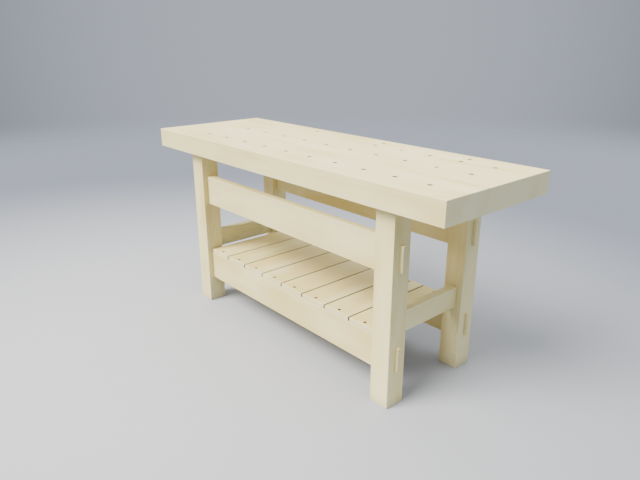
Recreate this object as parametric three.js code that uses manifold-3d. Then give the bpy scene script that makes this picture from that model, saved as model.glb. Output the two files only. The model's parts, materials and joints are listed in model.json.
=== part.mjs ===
// A woodworking bench: a thick laminated top on four square posts, joined by long rails with proud through
// tenons, two end rails and a shelf of screwed boards.
// Millimetres, +Z up, X along the bench, -Y at its front, origin on the floor under the middle of the top.

import * as THREE from 'three';
import { mergeVertices } from 'three/addons/utils/BufferGeometryUtils.js';
import Module from 'manifold-3d';

const wasm = await Module();
wasm.setup();

// Work top: staves on edge, glued face to face.
const BENCH_HEIGHT = 885;
const TOP_LENGTH = 1828.8;
const TOP_THICKNESS = 88.9;
const STAVE_WIDTH = 76.2;
const STAVE_COUNT = 8;

// Dog holes, in rows along the staves that are named by number from the front. A row starts near the right
// end and runs on while its holes keep clear of the margin at the left end.
const DOG_HOLE_DIAMETER = 19.05;
const DOG_HOLE_RIM = 1.2;
const DOG_HOLE_PITCH = 152.4;
const DOG_ROW_RIGHT_INSET = 152.4;
const FRONT_DOG_STAVE = 2;
const MIDDLE_DOG_STAVE = 5;
const BACK_DOG_STAVE = 7;
const LONG_DOG_ROW_LEFT_MARGIN = 285;
const BACK_DOG_ROW_LEFT_MARGIN = 1050;

// Holdfast holes near the back edge.
const HOLDFAST_PITCH = 457.2;
const HOLDFAST_COUNT = 3;
const HOLDFAST_RIGHT_INSET = 304.8;
const HOLDFAST_BACK_INSET = 57.15;

// Legs: square posts set in from the ends and sides of the top.
const LEG_SECTION = 88.9;
const LEG_END_INSET = 234.95;
const LEG_SIDE_INSET = 44.45;
const LEG_TENON_SIDE = 31.75;
const LEG_TENON_LENGTH = 31.75;

// Long rails, upper and lower, with tenons right through the legs.
const RAIL_THICKNESS = 38.1;
const LONG_RAIL_HEIGHT = 139.7;
const UPPER_RAIL_DROP = 120.65;
const LOWER_RAIL_FLOOR_CLEARANCE = 132;
const THROUGH_TENON_THICKNESS = 15.9;
const THROUGH_TENON_SHOULDER = 19.05;
const THROUGH_TENON_STANDOUT = 12.7;

// End rails between a front and a back leg, with blind tenons.
const END_RAIL_HEIGHT = 88.9;
const END_RAIL_LIFT = 12.7;
const END_TENON_THICKNESS = 15.9;
const END_TENON_SHOULDER = 12.7;
const END_TENON_LENGTH = 50.8;

// Shelf boards laid across the lower rails.
const SLAT_WIDTH = 139.7;
const SLAT_THICKNESS = 19.05;
const SLAT_GAP = 6.35;

// Countersunk wood screws, one at each end of a shelf board.
const SCREW_LENGTH = 44;
const SCREW_SHANK_DIAMETER = 4.4;
const SCREW_HEAD_DIAMETER = 9.6;
const SCREW_HEAD_HEIGHT = 3.2;
const SCREW_TIP_LENGTH = 5;
const SCREW_SINK = 0.6;
const SCREW_SLOT_SPAN = 5.2;
const SCREW_SLOT_WIDTH = 1.3;
const SCREW_SLOT_DEPTH = 1.6;

// Eased arrises, the fit of every joint and the facets of round pieces.
const EASE = 1.5;
const FIT = 0.2;
const HOLE_FACETS = 20;
const SCREW_FACETS = 12;

// Finishes.
const TOP_WOOD = { color: 0xe6dfcb, roughness: 0.55, metalness: 0 };
const FRAME_WOOD = { color: 0xe2d8be, roughness: 0.6, metalness: 0 };
const SHELF_WOOD = { color: 0xdfd3b4, roughness: 0.62, metalness: 0 };
const SCREW_STEEL = { color: 0x4b4740, roughness: 0.45, metalness: 0.9 };

// Places that follow from the sizes above.
const TOP_WIDTH = STAVE_COUNT * STAVE_WIDTH;
const TOP_UNDERSIDE = BENCH_HEIGHT - TOP_THICKNESS;
const LEG_X = TOP_LENGTH / 2 - LEG_END_INSET - LEG_SECTION / 2;
const LEG_Y = TOP_WIDTH / 2 - LEG_SIDE_INSET - LEG_SECTION / 2;
const LEG_HEIGHT = TOP_UNDERSIDE - FIT;
const BAY_LENGTH = 2 * LEG_X - LEG_SECTION;
const BAY_DEPTH = 2 * LEG_Y - LEG_SECTION;
const UPPER_RAIL_Z = TOP_UNDERSIDE - UPPER_RAIL_DROP - LONG_RAIL_HEIGHT / 2;
const LOWER_RAIL_Z = LOWER_RAIL_FLOOR_CLEARANCE + LONG_RAIL_HEIGHT / 2;
const LOWER_RAIL_TOP = LOWER_RAIL_FLOOR_CLEARANCE + LONG_RAIL_HEIGHT;
const END_RAIL_Z = LOWER_RAIL_TOP + END_RAIL_LIFT + END_RAIL_HEIGHT / 2;
const THROUGH_TENON_HEIGHT = LONG_RAIL_HEIGHT - 2 * THROUGH_TENON_SHOULDER;
const END_TENON_HEIGHT = END_RAIL_HEIGHT - 2 * END_TENON_SHOULDER;
const SLAT_LENGTH = 2 * LEG_Y + RAIL_THICKNESS;
const SLAT_Z = LOWER_RAIL_TOP + FIT + SLAT_THICKNESS / 2;
const SLAT_PITCH = SLAT_WIDTH + SLAT_GAP;
const SLAT_COUNT = Math.floor((BAY_LENGTH - SLAT_GAP) / SLAT_PITCH);
const SCREW_TOP = SLAT_Z + SLAT_THICKNESS / 2 - SCREW_SINK;

const AXIS_X = new THREE.Vector3(1, 0, 0);
const AXIS_Y = new THREE.Vector3(0, 1, 0);
const AXIS_Z = new THREE.Vector3(0, 0, 1);
const ALONG_X = new THREE.Matrix4().makeBasis(AXIS_Y, AXIS_Z, AXIS_X);
const ALONG_Y = new THREE.Matrix4().makeBasis(AXIS_Z, AXIS_X, AXIS_Y);
const ALONG_Z = new THREE.Matrix4();

// A closed solid from a geometry, moved to where it is needed.
function solid(geometry, x = 0, y = 0, z = 0) {
  const bare = geometry.clone().translate(x, y, z);
  bare.deleteAttribute('normal');
  bare.deleteAttribute('uv');
  const merged = mergeVertices(bare);
  const vertProperties = new Float32Array(merged.attributes.position.array);
  const triVerts = new Uint32Array(merged.index.array);
  return new wasm.Manifold(new wasm.Mesh({ numProp: 3, vertProperties, triVerts }));
}

// The geometry of a cut or joined solid.
function shaped(body) {
  const mesh = body.getMesh();
  const geometry = new THREE.BufferGeometry();
  geometry.setAttribute('position', new THREE.BufferAttribute(new Float32Array(mesh.vertProperties), 3));
  geometry.setIndex(new THREE.BufferAttribute(new Uint32Array(mesh.triVerts), 1));
  geometry.computeVertexNormals();
  return geometry;
}

// A bar with eased arrises, centred, its length along the given direction.
function easedBar(length, width, height, direction) {
  const x = width / 2;
  const y = height / 2;
  const outline = new THREE.Shape();
  outline.moveTo(-x + EASE, -y);
  outline.lineTo(x - EASE, -y);
  outline.lineTo(x, -y + EASE);
  outline.lineTo(x, y - EASE);
  outline.lineTo(x - EASE, y);
  outline.lineTo(-x + EASE, y);
  outline.lineTo(-x, y - EASE);
  outline.lineTo(-x, -y + EASE);
  outline.closePath();
  const bar = new THREE.ExtrudeGeometry(outline, {
    depth: length - 2 * EASE,
    bevelThickness: EASE,
    bevelSize: EASE,
    bevelOffset: -EASE,
    bevelSegments: 1,
  });
  bar.translate(0, 0, EASE - length / 2);
  return bar.applyMatrix4(direction);
}

// A solid of revolution about Z from its profile of radius and height.
function turned(profile, facets) {
  const points = profile.map(([radius, height]) => new THREE.Vector2(radius, height));
  return new THREE.LatheGeometry(points, facets).rotateX(Math.PI / 2);
}

const bench = new THREE.Group();

function addPiece(group, name, geometry, finish, x, y, z) {
  const mesh = new THREE.Mesh(geometry, new THREE.MeshStandardMaterial(finish));
  mesh.name = name;
  mesh.position.set(x, y, z);
  group.add(mesh);
}

// Places of the dog and holdfast holes, along the top and across it.
function dogRow(stave, leftMargin) {
  const y = -TOP_WIDTH / 2 + (stave - 0.5) * STAVE_WIDTH;
  const count = Math.floor((TOP_LENGTH - DOG_ROW_RIGHT_INSET - leftMargin) / DOG_HOLE_PITCH) + 1;
  const rightmost = TOP_LENGTH / 2 - DOG_ROW_RIGHT_INSET;
  return Array.from({ length: count }, (_, k) => [rightmost - k * DOG_HOLE_PITCH, y]);
}

function holdfastRow() {
  const y = TOP_WIDTH / 2 - HOLDFAST_BACK_INSET;
  const rightmost = TOP_LENGTH / 2 - HOLDFAST_RIGHT_INSET;
  return Array.from({ length: HOLDFAST_COUNT }, (_, k) => [rightmost - k * HOLDFAST_PITCH, y]);
}

const holePlaces = [
  ...dogRow(FRONT_DOG_STAVE, LONG_DOG_ROW_LEFT_MARGIN),
  ...dogRow(MIDDLE_DOG_STAVE, LONG_DOG_ROW_LEFT_MARGIN),
  ...dogRow(BACK_DOG_STAVE, BACK_DOG_ROW_LEFT_MARGIN),
  ...holdfastRow(),
];

// The four places of a leg: which end and which side of the bench.
const legPlaces = [
  { name: 'leg_front_left', end: -1, side: -1 },
  { name: 'leg_front_right', end: 1, side: -1 },
  { name: 'leg_back_left', end: -1, side: 1 },
  { name: 'leg_back_right', end: 1, side: 1 },
];

// A drill for one dog hole, with a small chamfer at the working surface and a free run past both faces.
function dogDrill() {
  const radius = DOG_HOLE_DIAMETER / 2;
  const half = TOP_THICKNESS / 2;
  const overrun = DOG_HOLE_RIM;
  return turned([
    [0, -half - overrun],
    [radius, -half - overrun],
    [radius, half - DOG_HOLE_RIM],
    [radius + DOG_HOLE_RIM + overrun, half + overrun],
    [0, half + overrun],
  ], HOLE_FACETS);
}

// The laminated top: one slab with eased edges, parted into staves, drilled, and mortised from below.
function addTop() {
  const slab = solid(easedBar(TOP_LENGTH, TOP_WIDTH, TOP_THICKNESS, ALONG_X));
  const drill = dogDrill();
  const pocketSide = LEG_TENON_SIDE + 2 * FIT;
  const pocketDepth = LEG_TENON_LENGTH + FIT;
  const pocket = new THREE.BoxGeometry(pocketSide, pocketSide, 2 * pocketDepth);
  let worked = slab;
  for (const [x, y] of holePlaces) {
    worked = worked.subtract(solid(drill, x, y, 0));
  }
  for (const { end, side } of legPlaces) {
    worked = worked.subtract(solid(pocket, end * LEG_X, side * LEG_Y, -TOP_THICKNESS / 2));
  }
  const zone = new THREE.BoxGeometry(2 * TOP_LENGTH, STAVE_WIDTH - FIT, 2 * TOP_THICKNESS);
  const group = new THREE.Group();
  group.position.z = BENCH_HEIGHT - TOP_THICKNESS / 2;
  for (let k = 0; k < STAVE_COUNT; k += 1) {
    const y = (k + 0.5) * STAVE_WIDTH - TOP_WIDTH / 2;
    const stave = worked.intersect(solid(zone, 0, y, 0)).translate([0, -y, 0]);
    addPiece(group, `top_stave_${k + 1}`, shaped(stave), TOP_WOOD, 0, y, 0);
  }
  bench.add(group);
}

// A leg: a post with a stub tenon on top, two through mortises along X and a blind one facing inwards.
function legGeometry(side) {
  const post = solid(easedBar(LEG_HEIGHT, LEG_SECTION, LEG_SECTION, ALONG_Z), 0, 0, LEG_HEIGHT / 2);
  const rooted = LEG_TENON_LENGTH + LEG_SECTION;
  const stub = solid(
    easedBar(rooted, LEG_TENON_SIDE, LEG_TENON_SIDE, ALONG_Z),
    0, 0, LEG_HEIGHT + LEG_TENON_LENGTH - rooted / 2,
  );
  const throughMortise = new THREE.BoxGeometry(
    2 * LEG_SECTION,
    THROUGH_TENON_THICKNESS + 2 * FIT,
    THROUGH_TENON_HEIGHT + 2 * FIT,
  );
  const blindMortise = new THREE.BoxGeometry(
    END_TENON_THICKNESS + 2 * FIT,
    2 * (END_TENON_LENGTH + FIT),
    END_TENON_HEIGHT + 2 * FIT,
  );
  return shaped(post
    .add(stub)
    .subtract(solid(throughMortise, 0, 0, UPPER_RAIL_Z))
    .subtract(solid(throughMortise, 0, 0, LOWER_RAIL_Z))
    .subtract(solid(blindMortise, 0, -side * LEG_SECTION / 2, END_RAIL_Z)));
}

function addLegs() {
  for (const { name, end, side } of legPlaces) {
    addPiece(bench, name, legGeometry(side), FRAME_WOOD, end * LEG_X, side * LEG_Y, 0);
  }
}

// A rail between two shoulders, with one long tenon run through it that stands out at both ends.
function railSolid(clear, height, tenonReach, tenonThickness, tenonHeight, direction) {
  const bar = easedBar(clear - 2 * FIT, RAIL_THICKNESS, height, ALONG_X);
  const tongue = easedBar(clear + 2 * tenonReach, tenonThickness, tenonHeight, ALONG_X);
  const rail = solid(bar).add(solid(tongue));
  return direction === ALONG_Y ? rail.rotate([0, 0, 90]) : rail;
}

function longRail() {
  const reach = LEG_SECTION + THROUGH_TENON_STANDOUT;
  return railSolid(
    BAY_LENGTH, LONG_RAIL_HEIGHT, reach, THROUGH_TENON_THICKNESS, THROUGH_TENON_HEIGHT, ALONG_X,
  );
}

// Middles of the shelf boards along the bench.
const slatPlaces = Array.from({ length: SLAT_COUNT }, (_, k) => (k - (SLAT_COUNT - 1) / 2) * SLAT_PITCH);

// A screw's outline about its axis, head up at zero, grown by a clearance and with its head run on upwards.
function screwProfile(clearance, headRun) {
  const shank = SCREW_SHANK_DIAMETER / 2 + clearance;
  const head = SCREW_HEAD_DIAMETER / 2 + clearance;
  const profile = [
    [0, -SCREW_LENGTH - clearance],
    [shank, SCREW_TIP_LENGTH - SCREW_LENGTH - clearance],
    [shank, -SCREW_HEAD_HEIGHT - clearance],
    [head, -clearance],
  ];
  if (headRun > 0) {
    profile.push([head, headRun]);
  }
  profile.push([0, headRun]);
  return turned(profile, SCREW_FACETS);
}

const screwHole = screwProfile(FIT, 2 * SCREW_SINK);

function addLongRails() {
  const plain = shaped(longRail());
  let bored = longRail();
  for (const x of slatPlaces) {
    bored = bored.subtract(solid(screwHole, x, 0, SCREW_TOP - LOWER_RAIL_Z));
  }
  const drilled = shaped(bored);
  for (const [place, side] of [['front', -1], ['back', 1]]) {
    addPiece(bench, `upper_rail_${place}`, plain.clone(), FRAME_WOOD, 0, side * LEG_Y, UPPER_RAIL_Z);
    addPiece(bench, `lower_rail_${place}`, drilled.clone(), FRAME_WOOD, 0, side * LEG_Y, LOWER_RAIL_Z);
  }
}

function addEndRails() {
  const rail = railSolid(
    BAY_DEPTH, END_RAIL_HEIGHT, END_TENON_LENGTH, END_TENON_THICKNESS, END_TENON_HEIGHT, ALONG_Y,
  );
  for (const [place, end] of [['left', -1], ['right', 1]]) {
    addPiece(bench, `end_rail_${place}`, shaped(rail), FRAME_WOOD, end * LEG_X, 0, END_RAIL_Z);
  }
}

function addShelf() {
  const board = solid(easedBar(SLAT_LENGTH, SLAT_THICKNESS, SLAT_WIDTH, ALONG_Y));
  const holeZ = SCREW_TOP - SLAT_Z;
  const slat = board
    .subtract(solid(screwHole, 0, -LEG_Y, holeZ))
    .subtract(solid(screwHole, 0, LEG_Y, holeZ));
  slatPlaces.forEach((x, k) => {
    addPiece(bench, `shelf_slat_${k + 1}`, shaped(slat), SHELF_WOOD, x, 0, SLAT_Z);
  });
}

// A screw with a cross slot in its head.
function screwGeometry() {
  const slotDepth = 2 * SCREW_SLOT_DEPTH;
  const slot = new THREE.BoxGeometry(SCREW_SLOT_SPAN, SCREW_SLOT_WIDTH, slotDepth);
  const crossSlot = new THREE.BoxGeometry(SCREW_SLOT_WIDTH, SCREW_SLOT_SPAN, slotDepth);
  return shaped(solid(screwProfile(0, 0)).subtract(solid(slot)).subtract(solid(crossSlot)));
}

function addScrews() {
  const screw = screwGeometry();
  for (const [place, side] of [['front', -1], ['back', 1]]) {
    slatPlaces.forEach((x, k) => {
      const name = `shelf_screw_${place}_${k + 1}`;
      addPiece(bench, name, screw.clone(), SCREW_STEEL, x, side * LEG_Y, SCREW_TOP);
    });
  }
}

addTop();
addLegs();
addLongRails();
addEndRails();
addShelf();
addScrews();

export default bench;
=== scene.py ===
import json
import math

import bpy
from mathutils import Matrix, Vector


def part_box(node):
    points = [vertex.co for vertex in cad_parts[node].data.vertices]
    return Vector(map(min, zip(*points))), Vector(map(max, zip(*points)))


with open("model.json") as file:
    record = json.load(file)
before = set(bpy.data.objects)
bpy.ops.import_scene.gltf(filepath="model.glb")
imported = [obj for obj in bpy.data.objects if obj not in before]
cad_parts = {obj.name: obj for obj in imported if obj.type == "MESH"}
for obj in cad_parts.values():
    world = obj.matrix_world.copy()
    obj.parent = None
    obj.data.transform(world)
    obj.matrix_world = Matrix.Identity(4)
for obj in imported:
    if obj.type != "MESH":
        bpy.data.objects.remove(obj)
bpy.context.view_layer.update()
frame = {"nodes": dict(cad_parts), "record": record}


# Work top.
# Thick staves of pale softwood stand on edge and are glued face to face into one slab, planed flat and
# given a thin matt oil. Rows of round holes for bench dogs are bored down through it.


class Shade:
    """A value, a colour or a direction at each point of a finish. Arithmetic on it adds nodes."""

    def __init__(self, tree, socket=None):
        self.tree = tree
        self.socket = socket

    def feed(self, made, sockets):
        """Gives a node's sockets their fixed values or their links."""
        for name, value in sockets.items():
            if isinstance(value, Shade):
                self.tree.links.new(value.socket, made.inputs[name])
            else:
                made.inputs[name].default_value = value

    def node(self, kind, settings=None, sockets=None, output=0):
        """A new node, with its settings made first and its sockets fed after."""
        made = self.tree.nodes.new(kind)
        for name, value in (settings or {}).items():
            setattr(made, name, value)
        self.feed(made, sockets or {})
        return Shade(self.tree, made.outputs[output])

    def math(self, operation, *values):
        return self.node("ShaderNodeMath", {"operation": operation}, dict(enumerate(values)))

    def __add__(self, other):
        return self.math("ADD", self, other)

    def __sub__(self, other):
        return self.math("SUBTRACT", self, other)

    def __rsub__(self, other):
        return self.math("SUBTRACT", other, self)

    def __mul__(self, other):
        return self.math("MULTIPLY", self, other)

    def __truediv__(self, other):
        return self.math("DIVIDE", self, other)

    def __rtruediv__(self, other):
        return self.math("DIVIDE", other, self)

    def __mod__(self, other):
        return self.math("FLOORED_MODULO", self, other)

    def __rmod__(self, other):
        return self.math("FLOORED_MODULO", other, self)

    def __abs__(self):
        return self.math("ABSOLUTE", self)

    __radd__ = __add__
    __rmul__ = __mul__

    def least(self, other):
        return self.math("MINIMUM", self, other)

    def most(self, other):
        return self.math("MAXIMUM", self, other)

    def below(self, level):
        return self.math("LESS_THAN", self, level)

    def distance(self, other):
        """How far off a point is that lies this far along and the other far across."""
        return self.math("SQRT", self * self + other * other)

    def rise(self, low, high):
        """Nought below low, one above high and a smooth step between."""
        edges = {"Value": self, "From Min": low, "From Max": high}
        return self.node("ShaderNodeMapRange", {"interpolation_type": "SMOOTHSTEP"}, edges)

    def parts(self):
        """The three numbers of a direction or a colour."""
        split = self.node("ShaderNodeSeparateXYZ", sockets={0: self}).socket.node
        return [Shade(self.tree, socket) for socket in split.outputs]

    def joined(self, first, second, third):
        """A direction made of three numbers."""
        return self.node("ShaderNodeCombineXYZ", sockets={0: first, 1: second, 2: third})

    def blend(self, first, second):
        """The first colour where this value is nought, the second where it is one, and mixed between."""
        return self.node("ShaderNodeMix", {"data_type": "RGBA"}, {0: self, 6: first, 7: second}, output=2)

    def cloud(self, detail, output="Fac"):
        """Soft noise over a place that is already scaled."""
        sockets = {"Vector": self, "Scale": 1.0, "Detail": detail}
        return self.node("ShaderNodeTexNoise", sockets=sockets, output=output)


def new_finish(name):
    """A new material, its surface, and a shade to start its nodes from."""
    material = bpy.data.materials.new(name)
    material.use_nodes = True
    return material, material.node_tree.nodes["Principled BSDF"], Shade(material.node_tree)


cut_order = sorted(frame["nodes"])


def pieces(word):
    """The names of the bench's pieces that hold a word."""
    return [node for node in cut_order if word in node]


# Growth rings in metres, with the part of each ring that late wood takes up.
RING_WIDTH = 0.0046
RING_WANDER = 0.045
RING_RIPPLE = 0.9
LATE_STARTS = 0.35
LATE_FULL = 0.9
LATE_ENDS = 0.93
# The pith lies this far from a piece's middle, and turns from each piece to the next.
PITH_DISTANCE = 0.085
PITH_TURN = 2.4
# Waves of the figure to the metre, along the grain and across it, and how finely each is broken up.
DRIFT_WAVES = (2.4, 9.0, 1.5)
STREAK_WAVES = (2.2, 60.0, 3.0)
FIBRE_WAVES = (26.0, 1300.0, 2.0)
# The figure shifts this far from each piece to the next, and swings about this middle.
FIGURE_STEP = 3.3
CLOUD_MIDDLE = 0.5


def grain(timber, run, across, height, number):
    """Rings about a pith beside the piece, and the drift, streaks and fibres that run along them."""
    start = number * FIGURE_STEP

    def figure(waves, output="Fac"):
        lengthwise, crosswise, detail = waves
        place = timber.joined(run * lengthwise + start, across * crosswise + start, height * crosswise)
        return place.cloud(detail, output)

    sway, lift, patch = figure(DRIFT_WAVES, "Color").parts()
    streak = figure(STREAK_WAVES)
    fibre = figure(FIBRE_WAVES)
    pith_aside = PITH_DISTANCE * math.cos(number * PITH_TURN)
    pith_above = PITH_DISTANCE * math.sin(number * PITH_TURN)
    aside = across - pith_aside + (sway - CLOUD_MIDDLE) * RING_WANDER
    above = height - pith_above + (lift - CLOUD_MIDDLE) * RING_WANDER
    ring = (aside.distance(above) / RING_WIDTH + streak * RING_RIPPLE) % 1.0
    late = ring.rise(LATE_STARTS, LATE_FULL) * (1.0 - ring.rise(LATE_ENDS, 1.0))
    return lift, patch, streak, fibre, late


# The band along each arris that is worn smoother and carries a painted highlight.
ARRIS_BAND_FULL = 0.0006
ARRIS_BAND_END = 0.0042


def arris_wear_and_highlight(spot, low, high):
    """Wear and a painted highlight along a block's arrises. On a face the least of three depths is
    nought, and the next tells.
    """
    middle = (low + high) / 2
    half = (high - low) / 2
    first, second, third = (half[k] - abs(spot[k] - middle[k]) for k in range(3))
    depth = first.least(second).most(first.most(second).least(third))
    return 1.0 - depth.rise(ARRIS_BAND_FULL, ARRIS_BAND_END)


# Colours of the wood, and how much of each shows.
EARLY_WOOD = (0.70, 0.617, 0.304, 1)
LATE_WOOD = (0.56, 0.43, 0.17, 1)
LATE_SHARE = 0.42
HONEY_WOOD = (0.61, 0.49, 0.19, 1)
PIECE_TINT = 0.06
PATCH_TINT = 3.0
PATCH_MIDDLE = 0.45
STREAK_TINT = 0.9
FIBRE_TINT = 0.2
PALE_WOOD = (0.74, 0.672, 0.40, 1)
PALE_PATCH = (0.45, 0.75)
PALE_SHARE = 0.5
ARRIS_HIGHLIGHT_SHARE = 0.3
END_GRAIN = (0.605, 0.55, 0.37, 1)
END_FACING = (0.6, 0.95)
END_SHARE = 0.45
END_RINGS = 0.35
DIRT_AND_SHADE_SHARE = 0.7
DIRT_AND_SHADE_STREAKS = 0.5
# How rough the oiled face is, and what roughens it or wears it smooth.
OILED_ROUGHNESS = 0.5
FIBRE_ROUGHNESS = 0.3
END_ROUGHNESS = 0.15
DIRT_ROUGHNESS = 0.15
LATE_SMOOTHNESS = 0.06
ARRIS_SMOOTHNESS = 0.08
OIL_GLOSS = 0.35
# Fibres and late wood stand proud by less than half a millimetre.
GRAIN_RELIEF = 0.25
GRAIN_DEPTH = 0.0004
FIBRE_HEIGHT = 0.6
RING_HEIGHT = 0.4
# The axis along the grain, and then the two across it.
GRAIN_AXES = {"X": (0, 1, 2), "Y": (1, 0, 2), "Z": (2, 0, 1)}


def wood(node, along, warmth, stain_and_shade=None, block=None):
    """Planed and oiled softwood with its grain along one axis, darkened by stains and by painted shade,
    and worn at a block's arrises, where a painted highlight lies too.
    """
    low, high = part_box(node)
    middle = (low + high) / 2
    number = cut_order.index(node)
    material, surface, timber = new_finish(node + "_softwood")
    spot = timber.node("ShaderNodeTexCoord", output="Object").parts()
    facing = timber.node("ShaderNodeTexCoord", output="Normal").parts()
    axes = GRAIN_AXES[along]
    run, across, height = (spot[k] - middle[k] for k in axes)
    lift, patch, streak, fibre, late = grain(timber, run, across, height, number)
    ends = abs(facing[axes[0]]).rise(*END_FACING)
    arris = arris_wear_and_highlight(spot, *(block or (low, high))) * (1.0 - ends)

    honey = warmth + PIECE_TINT * math.sin(number) + (patch - PATCH_MIDDLE) * PATCH_TINT
    honey = honey + (streak - CLOUD_MIDDLE) * STREAK_TINT + (fibre - CLOUD_MIDDLE) * FIBRE_TINT
    colour = (late * LATE_SHARE).blend(EARLY_WOOD, LATE_WOOD)
    colour = honey.rise(0.0, 1.0).blend(colour, HONEY_WOOD)
    colour = (lift.rise(*PALE_PATCH) * PALE_SHARE).blend(colour, PALE_WOOD)
    colour = (ends * (END_SHARE + late * END_RINGS)).blend(colour, END_GRAIN)
    # Paler wood along the arrises is a painted highlight; their lower roughness is the wear.
    colour = (arris * ARRIS_HIGHLIGHT_SHARE).blend(colour, PALE_WOOD)
    roughness = OILED_ROUGHNESS + (fibre - CLOUD_MIDDLE) * FIBRE_ROUGHNESS + ends * END_ROUGHNESS
    roughness = roughness - late * LATE_SMOOTHNESS - arris * ARRIS_SMOOTHNESS
    # The marks given here are floor dirt on the legs, painted shade with grime on the staves, and painted
    # shade with iron stain on the boards.
    if stain_and_shade:
        dirt_and_shade, dirt_and_shade_colour = stain_and_shade(*spot, facing)
        dirt_and_shade = dirt_and_shade * (DIRT_AND_SHADE_SHARE + streak * DIRT_AND_SHADE_STREAKS)
        colour = dirt_and_shade.blend(colour, dirt_and_shade_colour)
        roughness = roughness + dirt_and_shade * DIRT_ROUGHNESS
    ridges = fibre * FIBRE_HEIGHT + late * RING_HEIGHT
    relief = {"Strength": GRAIN_RELIEF, "Distance": GRAIN_DEPTH, "Height": ridges}
    timber.feed(surface, {
        "Base Color": colour,
        "Roughness": roughness,
        "Normal": timber.node("ShaderNodeBump", sockets=relief),
        "Specular IOR Level": OIL_GLOSS,
    })
    return material


def dress(node, material):
    """Gives a node its finish in place of the plain one."""
    slots = frame["nodes"][node].data.materials
    slots.clear()
    slots.append(material)


staves = pieces("top_stave")
stave_boxes = [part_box(node) for node in staves]
slab = (
    Vector(min(low[k] for low, high in stave_boxes) for k in range(3)),
    Vector(max(high[k] for low, high in stave_boxes) for k in range(3)),
)
bored = [space["box_m"] for space in frame["record"]["physics"]["openings"] if "_hole_" in space["name"]]
hole_places = [((low[0] + high[0]) / 2, (low[1] + high[1]) / 2) for low, high in bored]
HOLE_RADIUS = 0.0095
RIM_RADIUS = 0.0101
# The colour of the painted shade in the bores and of the dirt at their mouths.
HOLE_SHADE_AND_RIM_GRIME = (0.09, 0.065, 0.035, 1)


def hole_shade_and_rim_grime(stave):
    """Painted shade down the bores of one stave's row of holes, which are evenly spaced, with a thin ring
    of handling dirt round their mouths.
    """
    low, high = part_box(stave)
    row = sorted(place for place in hole_places if low.y < place[1] < high.y)
    if not row:
        return None
    first, line = row[0]
    last = row[-1][0]
    pitch = row[1][0] - first

    def shade_and_grime(x, y, z, facing):
        from_hole = (x - first + pitch / 2) % pitch - pitch / 2
        # Full inside the bore, which is painted shade, fading out over a thin ring of dirt at the mouth.
        rim = 1.0 - from_hole.distance(y - line).rise(HOLE_RADIUS, RIM_RADIUS)
        in_row = x.below(last + pitch / 2) - x.below(first - pitch / 2)
        return rim * in_row, HOLE_SHADE_AND_RIM_GRIME

    return shade_and_grime


STAVE_WARMTH = -0.05
FRONT_STAVE_WARMTH = 0.2
for node in staves:
    warmth = FRONT_STAVE_WARMTH if node == staves[0] else STAVE_WARMTH
    dress(node, wood(node, "X", warmth, hole_shade_and_rim_grime(node), slab))


# Legs.
# Four square posts of the same softwood, mortised for the rails, with a stub tenon up into the slab.
# Their end grain stands on the floor and has picked up a little dirt.
LEG_WARMTH = 0.2
FLOOR_DIRT = (0.30, 0.255, 0.19, 1)
FLOOR_DIRT_SHARE = 0.35
FLOOR_DIRT_HEIGHT = 0.05


def floor_dirt(x, y, z, facing):
    return (1.0 - z.rise(0.0, FLOOR_DIRT_HEIGHT)) * FLOOR_DIRT_SHARE, FLOOR_DIRT


for node in pieces("leg_"):
    dress(node, wood(node, "Z", LEG_WARMTH, floor_dirt))


# Rails.
# Long rails on edge join the legs, with tenons that pass right through the posts and stand proud outside.
# Two shorter end rails are tenoned between a front and a back leg. The lower long rails carry the shelf.
RAIL_GRAIN = {"end": "Y", "lower": "X", "upper": "X"}
RAIL_WARMTH = {"end": -0.15, "lower": 0.5, "upper": 0.2}
shelf_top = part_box("shelf_slat_1")[1].z
for node in pieces("_rail_"):
    place = node.split("_")[0]
    rail_low, rail_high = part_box(node)
    if place == "lower":
        # The shelf covers this rail's upper arrises, so they get neither wear nor the painted highlight.
        rail_high.z = shelf_top
    dress(node, wood(node, RAIL_GRAIN[place], RAIL_WARMTH[place], block=(rail_low, rail_high)))


# Shelf.
# Thin planed boards lie across the lower rails with a narrow gap between each, screwed down at both ends.
# The wood round each screw is darkened, partly as iron stain from the steel and partly as painted
# countersink shade, and the boards' sides in the gaps carry painted shade.
SLAT_WARMTH = 0.87
# One dark colour for the iron stain round the screws and for the painted shade in the countersinks and
# gaps.
IRON_STAIN_AND_SHADE = (0.025, 0.02, 0.015, 1)
SCREW_RING_INNER_RADIUS = 0.0058
SCREW_RING_RADIUS = 0.0082
GAP_SHADE_SHARE = 0.8
SIDE_FACING = (0.5, 0.95)
UNSHADED_END_MARGIN = 0.004
UNSHADED_END_STEP = 0.001
rail_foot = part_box("lower_rail_front")[0].z
slats = pieces("shelf_slat")
shelf_end = max(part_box(node)[1].x for node in slats)


def iron_stain_and_shade(slat):
    """Dark rings round a board's two screws, iron stain with painted countersink shade, and painted shade
    on its sides in the gaps, left off the shelf's two outer sides.
    """
    number = slat.rsplit("_", 1)[1]
    heads = []
    for row in ("front", "back"):
        low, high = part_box("shelf_screw_" + row + "_" + number)
        heads.append((low + high) / 2)
    unshaded_from = shelf_end - UNSHADED_END_MARGIN

    def stain_and_shade(x, y, z, facing):
        front, back = ((x - head.x).distance(y - head.y) for head in heads)
        # The ring round each screw head is iron stain and painted countersink shade.
        mark = 1.0 - front.least(back).rise(SCREW_RING_INNER_RADIUS, SCREW_RING_RADIUS)
        inside = 1.0 - abs(x).rise(unshaded_from, unshaded_from + UNSHADED_END_STEP)
        # Painted shade on the boards' sides where they face the gaps.
        gap = abs(facing[0]).rise(*SIDE_FACING) * inside
        return mark.most(gap * GAP_SHADE_SHARE), IRON_STAIN_AND_SHADE

    return stain_and_shade


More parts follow.
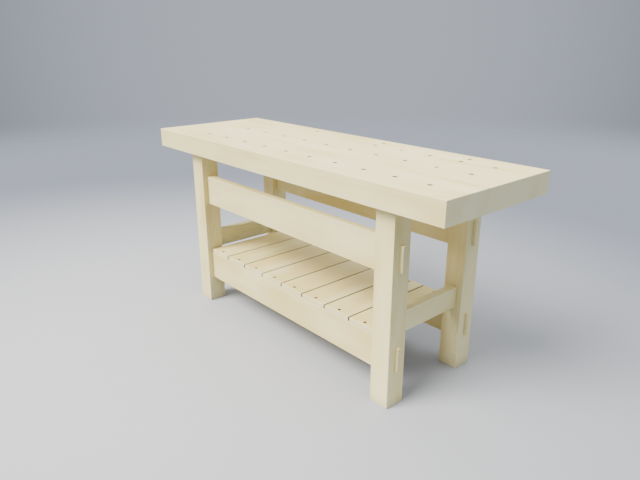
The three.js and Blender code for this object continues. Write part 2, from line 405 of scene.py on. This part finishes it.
for node in slats:
    slat_low, slat_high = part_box(node)
    # A board's lower arrises rest on the rails, so they get neither wear nor the painted highlight.
    slat_low.z = rail_foot
    dress(node, wood(node, "Y", SLAT_WARMTH, iron_stain_and_shade(node), (slat_low, slat_high)))


# Screws.
# Countersunk wood screws with a cross slot hold each board at both ends. They are dark zinc on steel,
# dulled and a little scratched by the driver.
ZINC_DARK = (0.012, 0.011, 0.01, 1)
ZINC_WORN = (0.05, 0.046, 0.041, 1)
ZINC_METAL = 0.5
DULL_ROUGHNESS = 0.72
WORN_SMOOTHNESS = 0.25
SCRATCH_WAVES = (500.0, 2600.0, 3.0)
SCRATCHED = (0.5, 0.75)
SCRATCH_RELIEF = 0.2
SCRATCH_DEPTH = 0.0001
zinc, zinc_surface, plating = new_finish("dark_zinc")
x, y, z = plating.node("ShaderNodeTexCoord", output="Object").parts()
lengthwise, crosswise, detail = SCRATCH_WAVES
scratch = plating.joined(x * crosswise, y * lengthwise, z * lengthwise).cloud(detail)
worn = scratch.rise(*SCRATCHED)
scratch_relief = {"Strength": SCRATCH_RELIEF, "Distance": SCRATCH_DEPTH, "Height": scratch}
plating.feed(zinc_surface, {
    "Base Color": worn.blend(ZINC_DARK, ZINC_WORN),
    "Roughness": DULL_ROUGHNESS - worn * WORN_SMOOTHNESS,
    "Normal": plating.node("ShaderNodeBump", sockets=scratch_relief),
    "Metallic": ZINC_METAL,
})
for node in pieces("shelf_screw"):
    dress(node, zinc)


# Studio.
# A round floor of matt paint, with a pool of light painted on it that is palest before the bench and a
# little to the left, fades into plain air. Two broad soft lights stand at the front and a little to the
# left, with a weak cool one at the right and a pale glow overhead.
FLOOR_RADIUS = 9.0
FLOOR_SIDES = 64
FLOOR_FADE = (5.0, 8.5)
FLOOR_IN_LIGHT_POOL = (0.36, 0.362, 0.372, 1)
FLOOR_BEYOND_LIGHT_POOL = (0.113, 0.1245, 0.148, 1)
LIGHT_POOL_CENTRE = (-0.3, -0.95)
LIGHT_POOL_REACH = (0.2, 3.85)
MATT_ROUGHNESS = 0.95
MATT_GLOSS = 0.1
turns = [2 * math.pi * side / FLOOR_SIDES for side in range(FLOOR_SIDES)]
rim = [(FLOOR_RADIUS * math.cos(turn), FLOOR_RADIUS * math.sin(turn), 0) for turn in turns]
floor_mesh = bpy.data.meshes.new("studio_floor")
floor_mesh.from_pydata(rim, [], [tuple(range(FLOOR_SIDES))])
floor = bpy.data.objects.new("studio_floor", floor_mesh)
bpy.context.scene.collection.objects.link(floor)
paint, paint_surface, coat = new_finish("studio_paint")
x, y = coat.node("ShaderNodeTexCoord", output="Object").parts()[:2]
# The paler middle is a painted pool of light, darker and cooler away from it.
beyond_light_pool = (x - LIGHT_POOL_CENTRE[0]).distance(y - LIGHT_POOL_CENTRE[1]).rise(*LIGHT_POOL_REACH)
coat.feed(paint_surface, {
    "Base Color": beyond_light_pool.blend(FLOOR_IN_LIGHT_POOL, FLOOR_BEYOND_LIGHT_POOL),
    "Roughness": MATT_ROUGHNESS,
    "Specular IOR Level": MATT_GLOSS,
})
painted = Shade(coat.tree, paint_surface.outputs[0])
clear = coat.node("ShaderNodeBsdfTransparent")
fade = x.distance(y).rise(*FLOOR_FADE)
faded = coat.node("ShaderNodeMixShader", sockets={0: fade, 1: painted, 2: clear})
coat.feed(coat.tree.nodes["Material Output"], {"Surface": faded})
floor_mesh.materials.append(paint)


def lamp(name, colour, strength, bearing, height, spread):
    """A broad light from far off, so many degrees to the left of the front and above level."""
    light = bpy.data.lights.new(name, "SUN")
    light.color = colour
    light.energy = strength
    light.angle = math.radians(spread)
    aside = math.radians(bearing)
    up = math.radians(height)
    beam = Vector((math.sin(aside) * math.cos(up), math.cos(aside) * math.cos(up), -math.sin(up)))
    holder = bpy.data.objects.new(name, light)
    holder.rotation_euler = beam.to_track_quat("-Z", "Y").to_euler()
    bpy.context.scene.collection.objects.link(holder)


WARM_LIGHT = (1.0, 0.978, 0.937)
COOL_LIGHT = (0.55, 0.75, 1.0)
lamp("key_high", WARM_LIGHT, strength=6.6, bearing=13, height=54, spread=34)
lamp("key_low", WARM_LIGHT, strength=5.0, bearing=17, height=40, spread=30)
lamp("fill", COOL_LIGHT, strength=1.2, bearing=-96, height=18, spread=100)

AIR_LEVEL = (0.26, 0.286, 0.345, 1)
AIR_BEHIND = (0.49, 0.53, 0.60, 1)
BEHIND_BENCH = (-0.75, 0.66)
BEHIND_REACH = (0.80, 1.0)
AIR_ABOVE = (3.0, 3.04, 3.09, 1)
OVERHEAD = (0.287, 0.958)
OVERHEAD_REACH = (0.45, 0.97)
world = bpy.data.worlds.new("studio_air")
bpy.context.scene.world = world
world.use_nodes = True
air = Shade(world.node_tree)
x, y, z = air.node("ShaderNodeTexCoord", output="Generated").parts()
behind = (x * BEHIND_BENCH[0] + y * BEHIND_BENCH[1]).rise(*BEHIND_REACH)
overhead = (y * OVERHEAD[0] + z * OVERHEAD[1]).rise(*OVERHEAD_REACH)
glow = overhead.blend(behind.blend(AIR_LEVEL, AIR_BEHIND), AIR_ABOVE)
air.feed(world.node_tree.nodes["Background"], {"Color": glow})


# Camera.
# At standing eye height to the right of the front, looking down a little, as in the photograph.
AZIMUTH = math.radians(48.794)
ELEVATION = math.radians(19.773)
EYE = Vector((1.8935, -1.6592, 1.3471))
SENSOR = 36.0
LENS = 32.204
camera = bpy.data.cameras.new("camera")
camera.sensor_width = SENSOR
camera.lens = LENS
ahead = Vector((
    -math.sin(AZIMUTH) * math.cos(ELEVATION),
    math.cos(AZIMUTH) * math.cos(ELEVATION),
    -math.sin(ELEVATION),
))
rightward = Vector((math.cos(AZIMUTH), math.sin(AZIMUTH), 0))
aim = Matrix((rightward, rightward.cross(ahead), -ahead)).transposed()
stand = bpy.data.objects.new("camera", camera)
stand.matrix_world = Matrix.Translation(EYE) @ aim.to_4x4()
bpy.context.scene.collection.objects.link(stand)
bpy.context.scene.camera = stand
